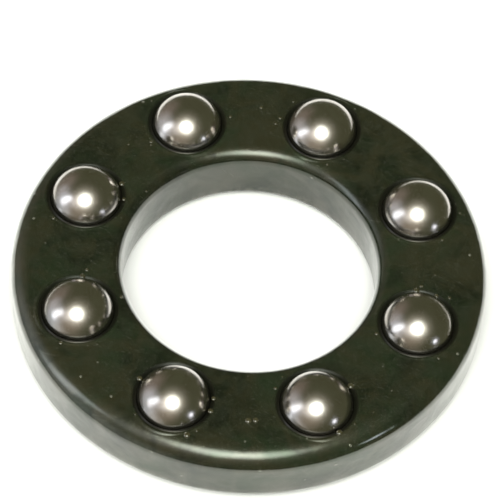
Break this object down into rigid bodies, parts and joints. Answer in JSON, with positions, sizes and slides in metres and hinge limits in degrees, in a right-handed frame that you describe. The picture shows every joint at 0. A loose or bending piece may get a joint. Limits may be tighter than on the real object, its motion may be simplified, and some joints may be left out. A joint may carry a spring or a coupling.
{
  "type": "thrust ball bearing",
  "caption": "Thrust ball bearing: captive steel balls in a deep blackened cage ring, rolling on a grooved race washer sunk in its underside.",
  "frame": {"origin": "on the bearing's axis, on the flat surface that the race washer rests on", "axes": "+Z along the bearing's axis, towards the exposed balls; +X runs midway between ball_8 and ball_1"},
  "size_m": [0.052, 0.052, 0.0103],
  "materials": {
    "race_steel": "hardened, ground and lightly oiled steel",
    "cage_steel": "blackened steel, polished and wet with oil",
    "ball_steel": "mirror-polished bearing steel, oiled"
  },
  "bodies": {
    "race_washer": {"race_washer": "race_steel"},
    "cage": {"cage_ring": "cage_steel"},
    "ball_1": {"ball_1": "ball_steel"},
    "ball_2": {"ball_2": "ball_steel"},
    "ball_3": {"ball_3": "ball_steel"},
    "ball_4": {"ball_4": "ball_steel"},
    "ball_5": {"ball_5": "ball_steel"},
    "ball_6": {"ball_6": "ball_steel"},
    "ball_7": {"ball_7": "ball_steel"},
    "ball_8": {"ball_8": "ball_steel"}
  },
  "joints": [
    {"name": "cage_orbit", "type": "hinge", "parent": "race_washer", "child": "cage", "pos_m": [0, 0, 0], "axis": [0, 0, 1], "continuous": true},
    {"name": "ball_1_roll", "type": "hinge", "parent": "cage", "child": "ball_1", "pos_m": [0.01829, 0.00758, 0.00632], "axis": [0.9239, 0.3827, 0], "continuous": true},
    {"name": "ball_2_roll", "type": "hinge", "parent": "cage", "child": "ball_2", "pos_m": [0.00758, 0.01829, 0.00632], "axis": [0.3827, 0.9239, 0], "continuous": true},
    {"name": "ball_3_roll", "type": "hinge", "parent": "cage", "child": "ball_3", "pos_m": [-0.00758, 0.01829, 0.00632], "axis": [-0.3827, 0.9239, 0], "continuous": true},
    {"name": "ball_4_roll", "type": "hinge", "parent": "cage", "child": "ball_4", "pos_m": [-0.01829, 0.00758, 0.00632], "axis": [-0.9239, 0.3827, 0], "continuous": true},
    {"name": "ball_5_roll", "type": "hinge", "parent": "cage", "child": "ball_5", "pos_m": [-0.01829, -0.00758, 0.00632], "axis": [-0.9239, -0.3827, 0], "continuous": true},
    {"name": "ball_6_roll", "type": "hinge", "parent": "cage", "child": "ball_6", "pos_m": [-0.00758, -0.01829, 0.00632], "axis": [-0.3827, -0.9239, 0], "continuous": true},
    {"name": "ball_7_roll", "type": "hinge", "parent": "cage", "child": "ball_7", "pos_m": [0.00758, -0.01829, 0.00632], "axis": [0.3827, -0.9239, 0], "continuous": true},
    {"name": "ball_8_roll", "type": "hinge", "parent": "cage", "child": "ball_8", "pos_m": [0.01829, -0.00758, 0.00632], "axis": [0.9239, -0.3827, 0], "continuous": true}
  ],
  "couplings": [
    {"joint": "ball_1_roll", "follows": "cage_orbit", "ratio": -4.95},
    {"joint": "ball_2_roll", "follows": "cage_orbit", "ratio": -4.95},
    {"joint": "ball_3_roll", "follows": "cage_orbit", "ratio": -4.95},
    {"joint": "ball_4_roll", "follows": "cage_orbit", "ratio": -4.95},
    {"joint": "ball_5_roll", "follows": "cage_orbit", "ratio": -4.95},
    {"joint": "ball_6_roll", "follows": "cage_orbit", "ratio": -4.95},
    {"joint": "ball_7_roll", "follows": "cage_orbit", "ratio": -4.95},
    {"joint": "ball_8_roll", "follows": "cage_orbit", "ratio": -4.95}
  ]
}
